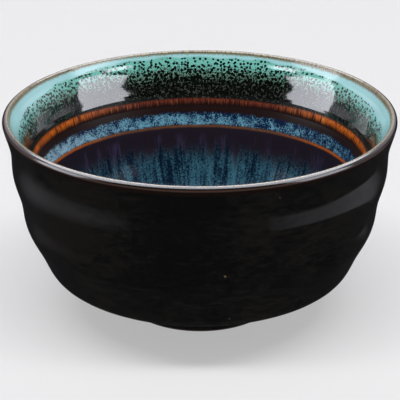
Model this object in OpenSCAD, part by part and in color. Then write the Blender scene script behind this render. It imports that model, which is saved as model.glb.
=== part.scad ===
// Matcha bowl: thrown stoneware on a turned foot ring, under layered glazes.
// The turquoise rim, blue band and blue-teal well lie over one iron-brown liner,
// which shows as two rust rings where the wall steps in.
// Z runs up the bowl's axis. The origin is the centre of the foot's resting face.

/* [Bowl] */
// Diameter across the lip
mouth_d = 120; // [96:1:150]
// Height from the resting face to the top of the lip
bowl_h = 63; // [50:0.5:80]
// Thickness of the rounded lip
lip_t = 2.8; // [2.3:0.1:4]

/* [Outside wall] */
// Diameter at the turn, where the shallow base meets the wall
turn_d = 92; // [74:1:112]
// Height of the turn above the resting face
turn_h = 12.7; // [10:0.1:16]
// Softness of the turn
turn_soft = 2; // [0.5:0.1:4]
// How far the lower wall swells outside the turn
belly_swell = 11.2; // [8:0.1:14]
// How far the neck draws in from the rim
neck_draw = 3.3; // [1:0.1:5]
// Number of throwing rings up the wall
ring_count = 3; // [1:1:5]
// Depth of the hollows between the throwing rings
ring_depth = 0.75; // [0:0.05:1.2]

/* [Inside] */
// Drop from the rim to the upper step, which shows as the upper rust ring
upper_step_drop = 13.4; // [10:0.1:17]
// Wall thickness at the upper step
upper_step_wall = 7; // [5:0.1:9]
// Drop from the rim to the lower step, which shows as the lower rust ring
lower_step_drop = 21.6; // [19:0.1:26]
// Wall thickness at the lower step
lower_step_wall = 7.9; // [6:0.1:10]
// Depth of the cove between the two steps
cove_depth = 0.5; // [0:0.1:1]
// Squareness of the well: 2 is an ellipse, more is fuller at the bottom
well_shape = 2.5; // [2:0.1:3]
// Thickness of the floor over the foot recess
floor_t = 5; // [3:0.1:8]

/* [Foot] */
// Diameter of the foot ring at its resting face
foot_d = 48; // [38:1:58]
// Height of the foot ring outside, up to the belly
foot_h = 4.2; // [3:0.1:6]
// How far the foot ring widens from the resting face up to the belly
foot_flare = 1; // [0:0.1:2]
// Width of the foot ring
foot_w = 6; // [4:0.1:9]
// Depth of the recess inside the foot ring
recess_depth = 5; // [4.6:0.1:7]
// Chamfer on both edges of the resting face
foot_chamfer = 0.5; // [0.2:0.1:0.8]

/* [Glaze] */
// Thickness of the main glaze
glaze_t = 0.5; // [0.3:0.05:0.7]
// Thickness of the coloured glazes that lie over the liner
overlay_t = 0.3; // [0.1:0.05:0.4]
// Height of the bare clay left around the resting face
bare_edge = 0.9; // [0.8:0.1:1.5]

/* [Hidden] */
$fn = 96;

lip_r = lip_t / 2;
rim_r = mouth_d / 2;
rim_z = bowl_h - lip_r;
turn_r = turn_d / 2;
foot_r = foot_d / 2;
foot_top_r = foot_r + foot_flare;
floor_z = recess_depth + floor_t;

// Sample counts along each stretch of the glazed surface
foot_n = 4;
wall_n = 66;
lip_n = 14;
slope_n = 14;
cove_n = 10;
well_n = 34;
recess_n = 12;

// Cubic Bezier value at t
function bezier(t, p) =
    (1 - t)^3 * p[0] + 3 * (1 - t)^2 * t * p[1] + 3 * (1 - t) * t^2 * p[2] + t^3 * p[3];

// The lesser of two radii, rounded over where they cross
function soft_min(a, b, soft) = (a + b - sqrt((a - b)^2 + soft^2)) / 2;

// Radius of the thrown wall at height z, with its finger rings
function wall_r(z) =
    let (t = (z - turn_h) / (rim_z - turn_h))
    bezier(t, [turn_r, turn_r + belly_swell, rim_r - neck_draw, rim_r])
    - ring_depth * (1 - cos(360 * ring_count * t)) / 2;

// Radius of the shallow cone that the base rises in, from the foot to the turn
function base_r(z) = foot_top_r + (z - foot_h) * (turn_r - foot_top_r) / (turn_h - foot_h);

// Radius of the whole outside at height z
function outside_r(z) = soft_min(base_r(z), wall_r(z), turn_soft);

// Steps of the inside
upper_step = [outside_r(rim_z - upper_step_drop) - upper_step_wall, rim_z - upper_step_drop];
lower_step = [outside_r(rim_z - lower_step_drop) - lower_step_wall, rim_z - lower_step_drop];

// Leans of the wall where it runs into the lip, outside and inside
lean_out = atan2(rim_r - wall_r(rim_z - lip_r), lip_r);
lean_in = atan2(rim_r - lip_t - upper_step[0], upper_step_drop);

// Stretches of the glazed surface, from the foot up and over the lip to the floor's centre
foot_side = [for (i = [0:foot_n - 1])
    let (s = i / foot_n)
    [foot_r + foot_flare * s, bare_edge + (foot_h - bare_edge) * s]];
wall = [for (i = [0:wall_n - 1])
    let (z = foot_h + (rim_z - lip_r * sin(lean_out) - foot_h) * i / wall_n)
    [outside_r(z), z]];
lip = [for (i = [0:lip_n - 1])
    let (a = -lean_out + (180 + lean_out - lean_in) * i / lip_n)
    [rim_r - lip_r + lip_r * cos(a), rim_z + lip_r * sin(a)]];
lip_end = [rim_r - lip_r - lip_r * cos(lean_in), rim_z + lip_r * sin(lean_in)];
slope = [for (i = [0:slope_n - 1]) lip_end + (upper_step - lip_end) * i / slope_n];
cove = [for (i = [0:cove_n - 1])
    let (s = i / cove_n)
    upper_step + (lower_step - upper_step) * s + [cove_depth * sin(180 * s), 0]];
well = [for (i = [0:well_n])
    let (a = 90 * i / well_n)
    [lower_step[0] * cos(a)^(2 / well_shape),
     lower_step[1] - (lower_step[1] - floor_z) * sin(a)^(2 / well_shape)]];

// Places along the glazed surface where one stretch gives way to the next
joint_i = foot_n;
lip_from = foot_n + wall_n - 1;
lip_to = foot_n + wall_n + lip_n + 2;
upper_step_i = foot_n + wall_n + lip_n + slope_n;
lower_step_i = upper_step_i + cove_n;
end_i = lower_step_i + well_n;

// Rounds a line of points over by averaging each with its neighbours
function soften(p, times) = times == 0 ? p : soften([for (i = [0:len(p) - 1])
    i == 0 || i == len(p) - 1 ? p[i] : (p[i - 1] + 2 * p[i] + p[i + 1]) / 4], times - 1);

// Unit normal of a line of points at point i, on the right of its direction; straight up on the axis
function normal(p, i) =
    let (d = p[min(i + 1, len(p) - 1)] - p[max(i - 1, 0)])
    p[i][0] == 0 ? [0, 1] : [d[1], -d[0]] / norm(d);

// A line of points moved along its normals, by one thickness or by one for each point
function moved(p, t) = [for (i = [0:len(p) - 1]) p[i] + normal(p, i) * (is_list(t) ? t[i] : t)];
function stretch(p, from, to) = [for (i = [from:to]) p[i]];
function reverse(p) = [for (i = [len(p) - 1:-1:0]) p[i]];

// The glazed surface, and the clay a glaze thickness under it
skin = concat(soften(concat(foot_side, wall), 2), lip, soften(concat(slope, cove, well), 2));
clay = moved(skin, -glaze_t);

// The recess under the foot, from the bare edge up its side and in to the centre
recess_r = foot_r - foot_w;
recess_side = [for (i = [0:foot_n - 1])
    [recess_r, bare_edge + (recess_depth - bare_edge) * i / foot_n]];
recess_roof = [for (i = [0:recess_n]) [recess_r * (1 - i / recess_n), recess_depth]];
recess_skin = soften(concat(recess_side, recess_roof), 2);
recess_clay = moved(recess_skin, glaze_t);

// Solid of revolution between two lines of points that run the same way
module coat(inner, outer) { rotate_extrude() polygon(concat(inner, reverse(outer))); }

// The main glaze from one place along the surface to another
module main_coat(from, to) { coat(stretch(clay, from, to), stretch(skin, from, to)); }

// A coloured glaze on the liner, which thins out over a few samples at its start
// and at its end, unless it runs on to the centre of the floor
module overlay(from, to, fade) {
    run = stretch(skin, from, to);
    last = to - from;
    to_centre = to == end_i;
    thickness = [for (i = [0:last])
        overlay_t * sin(90 * min(1, i / fade, to_centre ? 1 : (last - i) / fade))];
    coat(run, stretch(moved(run, thickness), 1, to_centre ? last : last - 1));
}

module stoneware_body() {
    roof = stretch(recess_clay, foot_n, foot_n + recess_n);
    color("#7d6654") coat(stretch(clay, joint_i, end_i), roof);
}

module foot_ring() {
    resting = [[clay[0][0] - foot_chamfer, 0], [recess_clay[0][0] + foot_chamfer, 0]];
    side = stretch(recess_clay, 0, foot_n);
    color("#86705c") coat(stretch(clay, 0, joint_i), concat(resting, side));
}

module outer_glaze() { color("#141312") main_coat(0, lip_from); }

module lip_glaze() { color("#5a4638") main_coat(lip_from, lip_to); }

module liner_glaze() { color("#7a3518") main_coat(lip_to, end_i); }

module foot_recess_glaze() { color("#1b1917") coat(recess_skin, recess_clay); }

module rim_glaze() { color("#68ac9d") overlay(lip_to, upper_step_i - 2, 4); }

module band_glaze() { color("#2f5f7c") overlay(upper_step_i + 2, lower_step_i - 2, 3); }

module well_glaze() { color("#3b5c72") overlay(lower_step_i + 6, end_i, 6); }

stoneware_body();
foot_ring();
outer_glaze();
lip_glaze();
liner_glaze();
foot_recess_glaze();
rim_glaze();
band_glaze();
well_glaze();
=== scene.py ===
"""Matcha bowl: thrown stoneware on a turned foot ring, under layered glazes.

Metres, +Z up the bowl's axis, with the origin at the centre of the foot's resting face.
Every piece is turned on the bowl's axis from the outline of its own node.
"""

import math

import bmesh
import bpy
import numpy as np
from mathutils import Matrix, Vector


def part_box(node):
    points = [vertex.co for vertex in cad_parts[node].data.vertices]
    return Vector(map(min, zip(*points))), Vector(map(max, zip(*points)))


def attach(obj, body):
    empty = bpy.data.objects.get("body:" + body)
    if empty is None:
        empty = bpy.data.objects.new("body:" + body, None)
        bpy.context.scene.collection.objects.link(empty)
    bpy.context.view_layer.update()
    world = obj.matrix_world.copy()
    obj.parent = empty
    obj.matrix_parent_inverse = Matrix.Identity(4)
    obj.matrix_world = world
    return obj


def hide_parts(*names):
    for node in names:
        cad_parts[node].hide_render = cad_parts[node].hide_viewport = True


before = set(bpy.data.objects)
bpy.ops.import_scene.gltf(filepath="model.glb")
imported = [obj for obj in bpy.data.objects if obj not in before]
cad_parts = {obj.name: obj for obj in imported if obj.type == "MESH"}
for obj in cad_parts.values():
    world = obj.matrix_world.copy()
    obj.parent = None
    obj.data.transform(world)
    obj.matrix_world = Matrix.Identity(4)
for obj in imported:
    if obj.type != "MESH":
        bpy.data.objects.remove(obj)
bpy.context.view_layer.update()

MM = 0.001
LOW, HIGH = 0, 1

# ------------------------------------------------------------------ heights, in millimetres


def height(node, end):
    """Height of a node's lowest or highest point."""
    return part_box(node)[end].z / MM


LIP_TOP = height("lip_glaze", HIGH)
RIM_LOW = height("rim_glaze", LOW)
BAND_HIGH = height("band_glaze", HIGH)
BAND_LOW = height("band_glaze", LOW)
FLOOR = height("well_glaze", LOW)
FOOT_TOP = height("foot_ring", HIGH)
UPPER_RING = (RIM_LOW + BAND_HIGH) / 2 - 0.2
LOWER_RING = BAND_LOW - 1.6
MOUTH_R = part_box("lip_glaze")[HIGH].x / MM
LIP_R = 1.4
RUN_DRAW = 0.12  # how little a running glaze changes down the wall, against round it

# ------------------------------------------------------------------ camera

CAMERA_DISTANCE = 0.600
CAMERA_ELEVATION = math.radians(23.1)
CAMERA_AIM = Vector((0, 0, 0.538 * LIP_TOP * MM))
LENS = 174


def aim(thing, target):
    """Turns a light or the camera to look at a point."""
    thing.rotation_euler = (target - thing.location).to_track_quat("-Z", "Y").to_euler()


def add_camera():
    camera = bpy.data.objects.new("camera", bpy.data.cameras.new("camera"))
    bpy.context.scene.collection.objects.link(camera)
    back = Vector((0, -math.cos(CAMERA_ELEVATION), math.sin(CAMERA_ELEVATION)))
    camera.location = CAMERA_AIM + CAMERA_DISTANCE * back
    aim(camera, CAMERA_AIM)
    camera.data.lens = LENS
    camera.data.sensor_width = 36
    camera.data.clip_end = 20
    bpy.context.scene.camera = camera


# ------------------------------------------------------------------ shader maths


def tint(red, green, blue):
    """A colour from 0 to 255 screen values, as the shader's linear values."""
    screen = (channel / 255 for channel in (red, green, blue))
    return (*(c / 12.92 if c <= 0.04045 else ((c + 0.055) / 1.055) ** 2.4 for c in screen), 1)


class Wire:
    """A shader socket that takes part in Python arithmetic."""

    def __init__(self, board, socket):
        self.board = board
        self.socket = socket

    def math(self, operation, *values):
        return self.board.node("Math", {"operation": operation}, dict(enumerate(values)))

    def __add__(self, other):
        return self.math("ADD", self, other)

    def __sub__(self, other):
        return self.math("SUBTRACT", self, other)

    def __rsub__(self, other):
        return self.math("SUBTRACT", other, self)

    def __mul__(self, other):
        return self.math("MULTIPLY", self, other)

    def __truediv__(self, other):
        return self.math("DIVIDE", self, other)

    def __pow__(self, other):
        return self.math("POWER", self, other)

    __radd__ = __add__
    __rmul__ = __mul__

    def smooth(self, start, end):
        """0 at start and 1 at end, with a soft run between them. Start may be the larger."""
        span = {"Value": self, "From Min": start, "From Max": end}
        return self.board.node("MapRange", {"interpolation_type": "SMOOTHSTEP"}, span)

    def between(self, low, high, soft):
        """1 from low to high, and 0 outside, over soft at each end."""
        return self.smooth(low - soft, low + soft) * self.smooth(high + soft, high - soft)


class Board:
    """A node tree under construction, of a material or of the world."""

    def __init__(self, tree):
        self.tree = tree
        self.tree.nodes.clear()

    def node(self, kind, settings=None, inputs=None, output=0):
        """Adds a node: its settings first, then the values or links of its sockets."""
        made = self.tree.nodes.new("ShaderNode" + kind)
        for name, value in (settings or {}).items():
            setattr(made, name, value)
        for key, value in (inputs or {}).items():
            if isinstance(value, Wire):
                self.tree.links.new(value.socket, made.inputs[key])
            else:
                made.inputs[key].default_value = value
        return Wire(self, made.outputs[output]) if made.outputs else made

    def math(self, operation, *values):
        return self.node("Math", {"operation": operation}, dict(enumerate(values)))

    def vector(self, operation, *values, **named):
        return self.node("VectorMath", {"operation": operation}, {**dict(enumerate(values)), **named})

    def mix(self, share, first, second):
        """The first colour where share is 0, and the second where it is 1."""
        return self.node("Mix", {"data_type": "RGBA"}, {0: share, 6: first, 7: second}, 2)


class Finish(Board):
    """A material under construction, with the coordinates that its patterns use, in millimetres."""

    def __init__(self, name):
        self.material = bpy.data.materials.new(name)
        self.material.use_nodes = True
        super().__init__(self.material.node_tree)
        place = self.node("TexCoord", output="Object")
        self.place = self.vector("SCALE", place, Scale=1 / MM)
        self.x = self.node("SeparateXYZ", inputs={"Vector": self.place}, output="X")
        self.z = self.node("SeparateXYZ", inputs={"Vector": self.place}, output="Z")
        flat = self.vector("MULTIPLY", self.place, (1, 1, 0))
        self.radius = self.node("VectorMath", {"operation": "LENGTH"}, {0: flat}, "Value")
        around = self.vector("SCALE", self.vector("NORMALIZE", flat), Scale=MOUTH_R)
        upright = self.vector("MULTIPLY", self.place, (0, 0, 1))
        self.run_place = self.vector("ADD", around, self.vector("SCALE", upright, Scale=RUN_DRAW))
        self.side = self.math("ABSOLUTE", self.x) / MOUTH_R

    def clouds(self, size, detail=2, rough=0.5, place=None, seed=0):
        """Soft noise about 0.5, with lumps of that size in millimetres."""
        at = self.vector("ADD", place or self.place, (seed * 37, seed * 11, seed * 23))
        inputs = {"Vector": at, "Scale": 1 / size, "Detail": detail, "Roughness": rough}
        return self.node("TexNoise", inputs=inputs)

    def cells(self, size):
        """Distance from the middle of the nearest of scattered cells, in shares of their size."""
        inputs = {"Vector": self.place, "Scale": 1 / size, "Randomness": 0.8}
        return self.node("TexVoronoi", inputs=inputs, output="Distance")

    def bump(self, relief, depth):
        """Relief from 0 to 1, standing that many millimetres proud."""
        return self.node("Bump", inputs={"Height": relief, "Distance": depth * MM, "Strength": 1.0})

    def fired(self, colour, roughness, normal, gloss=0.5):
        """Finishes the material as a fired surface."""
        inputs = {"Base Color": colour, "Roughness": roughness, "Normal": normal,
                  "Specular IOR Level": gloss}
        shader = self.node("BsdfPrincipled", inputs=inputs)
        self.node("OutputMaterial", inputs={"Surface": shader})
        return self.material


# ------------------------------------------------------------------ glazes and clay

TURQUOISE = tint(112, 184, 170)
GREEN_GREY = tint(96, 132, 114)
DIM_GREY = tint(64, 68, 60)
IRON_BLACK = tint(10, 13, 11)
RUST = tint(122, 58, 40)
# Amber: the rust as painted where the side softboxes light it, at the left and right ends of the rings.
SIDE_LIT_AMBER = tint(208, 104, 28)
SCORCHED = tint(62, 24, 16)
# Bright orange sparks: crystals in the rust glaze, painted bright so that they also stand in for their
# glints, so partly painted highlights.
SPARK = tint(226, 146, 70)
TENMOKU = tint(36, 22, 20)
MIDNIGHT = tint(6, 30, 66)
SKY = tint(112, 168, 190)
GOLD = tint(112, 74, 52)
PLUM = tint(42, 34, 44)
VIOLET = tint(66, 56, 82)
NAVY = tint(10, 24, 42)
TEAL = tint(56, 98, 114)
KHAKI = tint(128, 120, 90)
PALE_BLUE = tint(160, 212, 214)


def speckled_turquoise(finish):
    """Iron specks on turquoise, which crowd together down the wall and close to black."""
    drift = finish.clouds(9, 1, seed=8) - 0.5
    level = finish.z + drift * 2.0 + finish.side ** 4 * 3.5
    jitter = finish.clouds(0.4, 2) - 0.5
    big = finish.cells(1.1) + jitter * 0.08
    small = finish.cells(0.55) + jitter * 0.3
    big_size = level.smooth(61.4, 60.8) * 0.42 + level.smooth(59.5, 54.0) * 0.12
    small_size = level.smooth(61.0, 58.5) * 0.36 + level.smooth(59.0, 53.0) * 0.24
    specks = finish.math("MAXIMUM", big_size - big, small_size - small).smooth(-0.06, 0.06)
    ground = finish.mix(level.smooth(59.5, 56.0), TURQUOISE, GREEN_GREY)
    ground = finish.mix(level.smooth(56.5, 53.0), ground, DIM_GREY)
    # Pale blue in a thin strip under the lip all round. At the left and right ends the pale blue also
    # reaches down the wall, and there it is painted light, where the side softboxes would light the
    # wall.
    pale = level.smooth(60.8, 61.5) + finish.side.smooth(0.75, 0.95) * level.smooth(58, 61) * 0.8
    ground = finish.mix(pale, ground, PALE_BLUE)
    return finish.mix(specks, ground, IRON_BLACK)


def speckled_blue(finish):
    """Pale flecks in clusters on deep blue, thickest in the lower half of the band and on the left."""
    flecks = finish.clouds(0.42, 2, 0.6, None, 3) * 0.6 + finish.clouds(2.4, 2, 0.5, None, 2) * 0.4
    crowding = finish.z.smooth(LOWER_RING + 5.0, LOWER_RING + 2.4) * 0.09 - finish.x / MOUTH_R * 0.05
    pale = finish.mix(finish.x.smooth(-20, -60), SKY, tint(172, 204, 220))
    return finish.mix((flecks + crowding).smooth(0.51, 0.67), MIDNIGHT, pale)


def mottled_teal(finish, fingers):
    """Fine teal flecks on navy, drawn out down the wall."""
    flecks = finish.clouds(0.6, 3, 0.6, None, 5) * 0.45 + fingers * 0.55
    return finish.mix(flecks.smooth(0.42, 0.63), NAVY, TEAL)


def inside_colour(finish):
    """The colours of the inside by height, the same in every glaze so that they run together, with
    painted side light at the left and right ends.
    """
    z = finish.z
    sag = (finish.clouds(3, place=finish.run_place) - 0.5) * 2
    streak = finish.clouds(0.6, 3, 0.6, finish.run_place, 1)
    steep = finish.radius.smooth(20, 38)
    runs = finish.clouds(2.4, 3, 0.6, finish.run_place, 4)
    fingers = steep * runs + (1 - steep) * finish.clouds(4, 3)
    # The left and right ends of the rings are painted lighter and more amber, with more bright sparks:
    # painted light from the side softboxes, which themselves give the glaze no diffuse light.
    side_lit_ends = finish.side.smooth(0.35, 0.72)

    rust = finish.mix(streak.smooth(0.38, 0.56), SCORCHED, finish.mix(side_lit_ends, RUST, SIDE_LIT_AMBER))
    rust = finish.mix(streak.smooth(0.60, 0.70) * (side_lit_ends * 0.6 + 0.4), rust, SPARK)
    gold = finish.mix(side_lit_ends * 0.8 + (streak - 0.5), GOLD, SIDE_LIT_AMBER)
    frayed = z + sag * 0.5 + (finish.clouds(0.5, 2, seed=9) - 0.5) * 2.2

    colour = speckled_turquoise(finish)
    under_step = (z + sag * 0.3).smooth(UPPER_RING + 0.8, UPPER_RING - 0.2)
    colour = finish.mix(under_step, colour, TENMOKU)
    runny = z + sag * 0.3 + (streak - 0.5) * 1.6
    top = side_lit_ends * 0.5 + UPPER_RING
    ragged_top = (z - top + (streak - 0.5) * 1.5).smooth(1.1, 0.4)
    ring = runny.smooth(UPPER_RING - 1.4, UPPER_RING + 0.5) * ragged_top
    colour = finish.mix(ring, colour, rust)
    band = frayed.between(LOWER_RING + 0.6, LOWER_RING + 4.3, 0.5)
    colour = finish.mix(band, colour, speckled_blue(finish))
    colour = finish.mix((z + sag * 0.2).smooth(LOWER_RING + 0.4, LOWER_RING - 0.2), colour, PLUM)
    lower = (z + sag * 0.15).between(LOWER_RING - 0.30, LOWER_RING + 0.40, 0.4)
    colour = finish.mix(lower, colour, gold)
    violet = (finish.clouds(6, 2, 0.5, finish.run_place, 10) + (streak - 0.5) * 0.5).smooth(0.5, 0.75)
    below = z.smooth(LOWER_RING - 1.5, LOWER_RING - 4)
    colour = finish.mix(violet * below, colour, VIOLET)
    deep = (z + (fingers - 0.5) * 18).smooth(35.0, 29.0)
    return finish.mix(deep, colour, mottled_teal(finish, fingers))


def inner_glaze(name, roughness, gloss=0.5):
    finish = Finish(name)
    normal = finish.bump(finish.clouds(2.5, 2), 0.02)
    return finish.fired(inside_colour(finish), roughness, normal, gloss)


def lip_finish():
    """Khaki over the top of the lip, breaking in fine ticks to dark brown outside."""
    finish = Finish("lip_brown")
    ticks = finish.clouds(0.5, 2, 0.5, finish.run_place, 6)
    out = (finish.radius - (MOUTH_R - LIP_R)) / LIP_R
    khaki = finish.mix(ticks.smooth(0.53, 0.43), KHAKI, tint(84, 72, 50))
    colour = finish.mix((out + (ticks - 0.5) * 1.2).smooth(0.2, 0.4), khaki, tint(26, 18, 14))
    edge = out.smooth(0.86, 0.95) * finish.z.smooth(LIP_TOP - 1.5, LIP_TOP - 1.1)
    colour = finish.mix(edge, colour, tint(66, 50, 44))
    colour = finish.mix((out + (ticks - 0.5) * 0.5).smooth(-0.5, -0.85), colour, inside_colour(finish))
    return finish.fired(colour, 0.12, finish.bump(ticks, 0.02), 0.32)


def outer_finish():
    finish = Finish("black_glaze")
    flat = finish.vector("MULTIPLY", finish.place, (1, 1, 2.5))
    mottle = finish.clouds(30, 2, 0.5, None, 7) * 0.5 + finish.clouds(3.5, 3, 0.6, flat, 7) * 0.5
    colour = finish.mix(mottle.smooth(0.40, 0.60), tint(14, 14, 15), tint(27, 26, 23))
    # Sparse small tan dots: pinholes showing the clay, painted pale enough to stand in for the glints
    # that they catch as well, so partly painted highlights.
    colour = finish.mix(finish.cells(11).smooth(0.045, 0.03), colour, tint(112, 96, 74))
    ripple = finish.bump(finish.clouds(6, 2), 0.02)
    return finish.fired(colour, 0.05, ripple)


def recess_finish():
    finish = Finish("recess_black")
    colour = finish.mix(finish.clouds(3), tint(22, 20, 18), tint(34, 27, 22))
    return finish.fired(colour, 0.2, finish.bump(finish.clouds(1.5), 0.03))


def clay_finish(name, dark, light):
    finish = Finish(name)
    grain = finish.clouds(0.35, 3, 0.7)
    colour = finish.mix(grain.smooth(0.35, 0.65), dark, light)
    return finish.fired(colour, 0.85, finish.bump(grain, 0.05))


# ------------------------------------------------------------------ turning

LIP_FLARE = 0.5
INNER_RING = 0.25
INNER_RING_Z = 53.5
TURNS = 400
SAME = 1e-6
SHARP = math.radians(40)


def outline(node):
    """The half section of a node, as edges in the XZ plane."""
    section = bmesh.new()
    section.from_mesh(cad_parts[node].data)
    bmesh.ops.remove_doubles(section, verts=section.verts, dist=SAME)
    everything = section.verts[:] + section.edges[:] + section.faces[:]
    bmesh.ops.bisect_plane(section, geom=everything, dist=SAME, plane_co=(0, 0, 0),
                           plane_no=(0, 1, 0), clear_inner=True, clear_outer=True)
    other_half = [v for v in section.verts if v.co.x < -SAME]
    bmesh.ops.delete(section, geom=other_half, context="VERTS")
    return section


def turned(node):
    """A piece turned from its node's outline: an eighth of a turn, doubled until it closes."""
    shape = outline(node)
    turn = math.tau / 8
    bmesh.ops.spin(shape, geom=shape.verts[:] + shape.edges[:], cent=(0, 0, 0), axis=(0, 0, 1),
                   angle=turn, steps=TURNS // 8)
    while turn < 0.75 * math.tau:
        whole = shape.verts[:] + shape.edges[:] + shape.faces[:]
        copy = bmesh.ops.duplicate(shape, geom=whole)["geom"]
        bmesh.ops.rotate(shape, verts=[part for part in copy if isinstance(part, bmesh.types.BMVert)],
                         cent=(0, 0, 0), matrix=Matrix.Rotation(turn, 3, "Z"))
        turn *= 2
    bmesh.ops.remove_doubles(shape, verts=shape.verts, dist=SAME)
    bmesh.ops.recalc_face_normals(shape, faces=shape.faces)
    mesh = bpy.data.meshes.new(node)
    shape.to_mesh(mesh)
    shape.free()
    return mesh


def ease(value, start, end):
    """0 at start and 1 at end, with a soft run between them."""
    share = np.clip((value - start) / (end - start), 0, 1)
    return share * share * (3 - 2 * share)


def handle(mesh):
    """Moves the mesh as the potter's hand did: a slow wobble, finger rings and soft lumps.

    The same move for every piece, so that what touches still touches.
    """
    place = np.empty(len(mesh.vertices) * 3)
    mesh.vertices.foreach_get("co", place)
    place = place.reshape(-1, 3) / MM
    x, y, z = place.T
    radius = np.hypot(x, y)
    angle = np.arctan2(y, x)
    rise = z / LIP_TOP

    wobble = 0.08 * np.sin(2 * angle + 0.6) + 0.05 * np.sin(3 * angle - 1.1)
    lumps = 0.04 * np.sin(7 * angle + z / 4.1) * np.sin(z / 5.3 + 2 * np.sin(angle))
    spiral = 0.012 * np.cos(math.tau * z / 2.6 - angle)
    inside = ease(radius - z * 0.35, 38.5, 36.5)
    ring = INNER_RING * np.exp(-(((z - INNER_RING_Z - 0.3 * np.sin(angle + 2)) / 1.3) ** 2))
    flare = LIP_FLARE * np.clip((z - 57) / 5, 0, 1) ** 2 * ease(radius, MOUTH_R - 1.0, MOUTH_R - 2.8)
    outward = (wobble + lumps + spiral) * rise + flare + ring * inside * ease(radius, 30, 45)

    pool = ease(radius, 34, 26) * ease(z, FOOT_TOP + 1.5, FLOOR - 0.8)
    swirl = 0.12 * np.cos(math.tau * radius / 6.5 - angle) * ease(radius, 1, 7) * pool

    length = np.maximum(radius, SAME)
    place[:, 0] += outward * x / length
    place[:, 1] += outward * y / length
    place[:, 2] += swirl
    mesh.vertices.foreach_set("co", (place * MM).ravel())
    mesh.update()


def add_piece(name, node, material):
    """Turns a node's piece, glazes it, and fixes it to the bowl in the node's place."""
    mesh = turned(node)
    handle(mesh)
    mesh.shade_smooth()
    mesh.set_sharp_from_angle(angle=SHARP)
    mesh.name = name
    mesh.materials.append(material)
    piece = bpy.data.objects.new(name, mesh)
    bpy.context.scene.collection.objects.link(piece)
    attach(piece, "root")
    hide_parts(node)


# ------------------------------------------------------------------ studio

MOUTH_MIDDLE = Vector((0, 0, 0.9 * LIP_TOP * MM))
LAVENDER_WHITE = (0.90, 0.92, 1.0)
LAMP_POWER = 4  # watts for each square metre of a softbox and unit of its brightness
FLOOR_COLOUR = (0.37, 0.37, 0.37, 1)
FLOOR_GLOW = 0.42
BACKDROP = 1.6  # brightness of the backdrop in reflections
SKIRT = 0.34  # brightness of the low glow at the sides in reflections
DARK = 0.02  # brightness of everything else in reflections
DOME = 0.35  # brightness of the even light on matt surfaces
PALE = 0.83  # brightness of the backdrop as the camera sees it


def way(azimuth, elevation):
    """Direction from the bowl. Azimuth 0 is behind it, and 90 is on its right."""
    turn, lift = math.radians(azimuth), math.radians(elevation)
    return Vector((math.sin(turn) * math.cos(lift), math.cos(turn) * math.cos(lift), math.sin(lift)))


def softbox(name, azimuth, elevation, distance, size, radiance, colour):
    """A rectangular light of even brightness, turned to the bowl's mouth."""
    light = bpy.data.objects.new(name, bpy.data.lights.new(name, "AREA"))
    light.location = MOUTH_MIDDLE + distance * way(azimuth, elevation)
    aim(light, MOUTH_MIDDLE)
    light.data.shape = "RECTANGLE"
    light.data.size, light.data.size_y = size
    light.data.energy = LAMP_POWER * size[0] * size[1] * radiance
    light.data.color = colour
    bpy.context.scene.collection.objects.link(light)
    return light


def add_lights():
    """Two softboxes and a ceiling that only show as reflections, and a long key that only lights."""
    right = softbox("right_softbox", 107, 18, 1.2, (0.72, 0.84), 8, LAVENDER_WHITE)
    left = softbox("left_softbox", -96, 18, 1.2, (0.72, 0.84), 8, LAVENDER_WHITE)
    ceiling = softbox("ceiling", 0, 71, 1.25, (2.4, 1.9), 10, LAVENDER_WHITE)
    ceiling.rotation_euler = (0, 0, 0)
    for light in (right, left, ceiling):
        light.visible_diffuse = False
    key = softbox("key", 180, 76, 2.0, (2.6, 0.36), 11.8, (1, 1, 1))
    key.visible_glossy = False


def plain_mesh(name, create, **sizes):
    """A mesh object straight from one of bmesh's own shapes."""
    shape = bmesh.new()
    create(shape, **sizes)
    mesh = bpy.data.meshes.new(name)
    shape.to_mesh(mesh)
    shape.free()
    made = bpy.data.objects.new(name, mesh)
    bpy.context.scene.collection.objects.link(made)
    return made


def add_floor():
    floor = plain_mesh("floor", bmesh.ops.create_grid, x_segments=1, y_segments=1, size=4)
    finish = Finish("pale_floor")
    inputs = {"Base Color": FLOOR_COLOUR, "Roughness": 1.0, "Specular IOR Level": 0.0,
              "Emission Color": (1, 1, 1, 1), "Emission Strength": FLOOR_GLOW}
    finish.node("OutputMaterial", inputs={"Surface": finish.node("BsdfPrincipled", inputs=inputs)})
    floor.data.materials.append(finish.material)
    floor.visible_glossy = False


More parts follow.
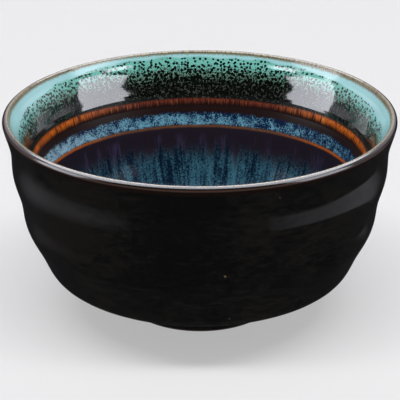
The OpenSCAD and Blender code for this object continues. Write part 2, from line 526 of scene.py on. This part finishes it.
def add_world():
    """A pale backdrop behind, dark towards the camera, with a low glow round the sides.

    The camera and matt surfaces each see one even brightness instead.
    """
    world = bpy.data.worlds.new("studio")
    bpy.context.scene.world = world
    world.use_nodes = True
    studio = Board(world.node_tree)
    place = studio.node("TexCoord", output="Generated")
    x, y, z = (studio.node("SeparateXYZ", inputs={"Vector": place}, output=axis) for axis in "XYZ")
    backdrop = y.smooth(-0.15, 0.4) * z.smooth(-0.02, 0.35) * BACKDROP
    across = (1.0001 - z * z) ** 0.5
    beside = (y / across).smooth(-0.77, -0.70) * (studio.math("ABSOLUTE", x) / across).smooth(0.50, 1.0)
    right = z.smooth(-0.50, -0.46)
    left = z.smooth(-0.60, -0.30)
    skirt = (right + x.smooth(0.05, -0.05) * (left - right)) * beside * z.smooth(0, -0.1)
    radiance = backdrop + skirt * SKIRT + DARK
    camera = studio.node("LightPath", output="Is Camera Ray")
    diffuse = studio.node("LightPath", output="Is Diffuse Ray")
    strength = radiance + camera * (PALE - radiance) + diffuse * (DOME - radiance)
    colour = studio.mix(camera, (0.93, 0.90, 1.0, 1), (1, 1, 1, 1))
    inputs = {"Color": colour, "Strength": strength}
    studio.node("OutputWorld", inputs={"Surface": studio.node("Background", inputs=inputs)})


add_camera()
add_floor()
add_world()
add_lights()

add_piece("Bowl_body", "stoneware_body",
          clay_finish("stoneware", tint(96, 78, 62), tint(132, 110, 90)))
add_piece("Foot_ring", "foot_ring",
          clay_finish("foot_clay", tint(40, 31, 26), tint(66, 52, 42)))
add_piece("Outer_glaze", "outer_glaze", outer_finish())
add_piece("Lip_glaze", "lip_glaze", lip_finish())
add_piece("Liner_glaze", "liner_glaze", inner_glaze("liner_brown", 0.35, 0.04))
add_piece("Foot_recess_glaze", "foot_recess_glaze", recess_finish())
add_piece("Rim_glaze", "rim_glaze", inner_glaze("turquoise", 0.08))
add_piece("Band_glaze", "band_glaze", inner_glaze("band_blue", 0.35, 0.04))
add_piece("Well_glaze", "well_glaze", inner_glaze("well_teal", 0.15, 0.03))

bpy.context.scene.view_settings.view_transform = "Standard"
